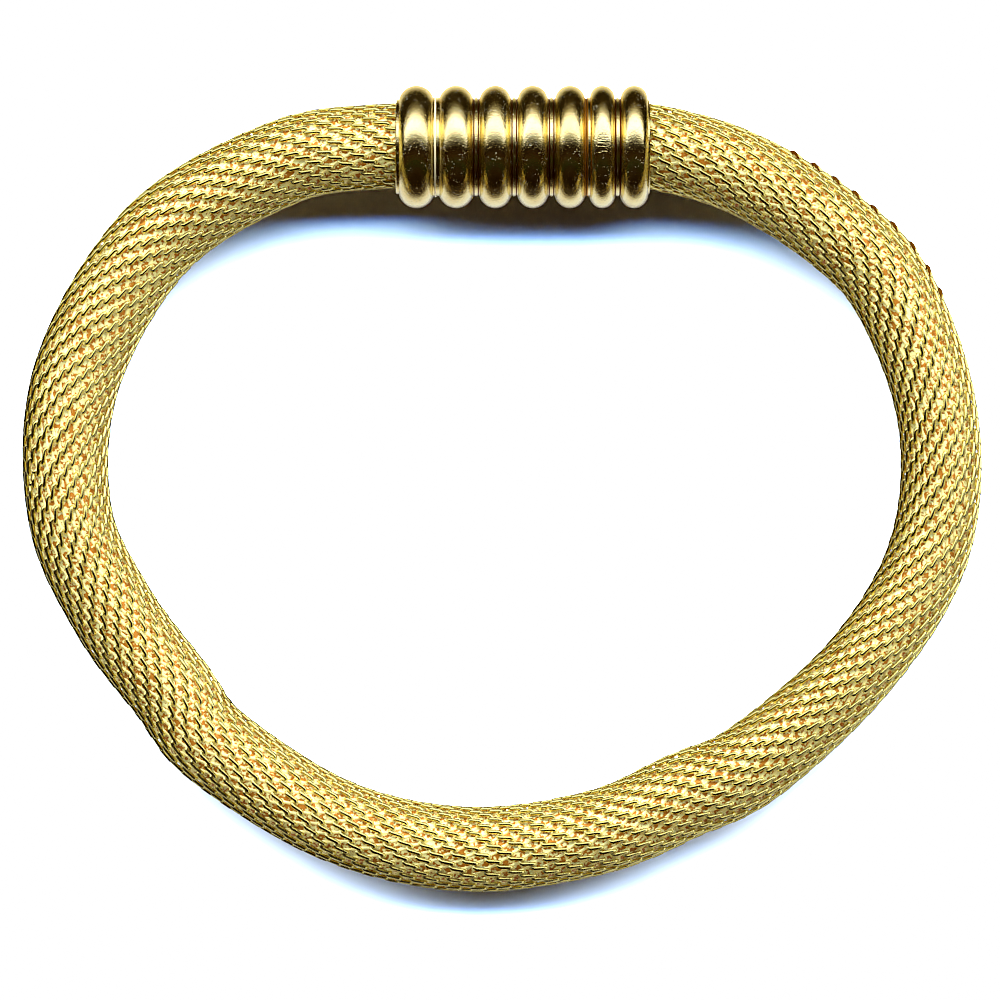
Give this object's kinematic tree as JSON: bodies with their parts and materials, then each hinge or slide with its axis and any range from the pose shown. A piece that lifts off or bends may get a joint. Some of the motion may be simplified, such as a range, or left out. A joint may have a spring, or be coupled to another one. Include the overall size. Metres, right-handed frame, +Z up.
{
  "type": "bracelet",
  "caption": "Flexible tube bracelet of woven gold-coloured wire, closed to a loop by a ribbed barrel clasp, lying flat.",
  "frame": {"origin": "on the surface the bracelet lies on, under the middle of its bounding box", "axes": "+X along the clasp from its longer half to its shorter half, +Y from the middle of the loop to the clasp, +Z up from the surface"},
  "size_m": [0.0815, 0.0683, 0.0104],
  "materials": {
    "gold_wire": "fine drawn wire, woven, bright gold plate",
    "gold_polished": "turned and polished, gold plate with light wear",
    "steel_pin": "plain turned"
  },
  "bodies": {
    "root": {"mesh_tube": "gold_wire", "clasp_sleeve": "gold_polished", "clasp_cap": "gold_polished", "clasp_pin": "steel_pin"}
  },
  "joints": []
}
